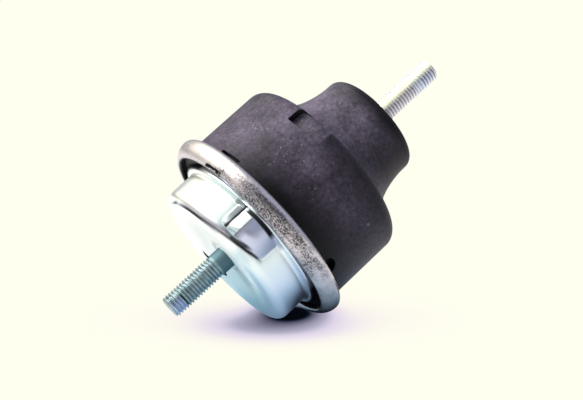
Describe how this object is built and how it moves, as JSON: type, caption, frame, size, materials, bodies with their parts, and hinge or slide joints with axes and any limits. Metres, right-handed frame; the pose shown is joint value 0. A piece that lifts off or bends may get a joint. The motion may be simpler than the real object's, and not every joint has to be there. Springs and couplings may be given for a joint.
{
  "type": "hydraulic engine mount",
  "caption": "Fluid filled engine mount with a rubber neck in a sleeve, a rolled steel ring, a pressed cup with a locating boss and a threaded stud at each end",
  "frame": {"origin": "the middle of the ring that the cup stands on, where the lower stud leaves the cup", "axes": "+Z along the mount's axis from the lower stud to the upper stud, +X to the locating boss, +Y completes the right-handed set"},
  "size_m": [0.0918, 0.0918, 0.1518],
  "materials": {
    "base_cup": "bright zinc plate, slightly blue",
    "lower_stud": "blue zinc plate, dulled",
    "crimp_ring": "bare steel, tarnished in patches",
    "cover_sleeve": "moulded rubber, dusty",
    "main_spring": "moulded rubber, dusty",
    "upper_stud": "zinc plate, worn thread",
    "core": "cast, machined on top",
    "outer_armature": "phosphated steel",
    "upper_plate": "pressed steel",
    "track_body": "die cast",
    "decoupler": "moulded rubber",
    "lower_plate": "pressed steel",
    "track_rivets": "plain",
    "diaphragm": "thin moulded rubber"
  },
  "bodies": {
    "root": {"base_cup": "base_cup", "lower_stud": "lower_stud", "crimp_ring": "crimp_ring", "cover_sleeve": "cover_sleeve", "main_spring": "main_spring", "upper_stud": "upper_stud", "core": "core", "outer_armature": "outer_armature", "upper_plate": "upper_plate", "track_body": "track_body", "decoupler": "decoupler", "lower_plate": "lower_plate", "track_rivets": "track_rivets", "diaphragm": "diaphragm"}
  },
  "joints": []
}
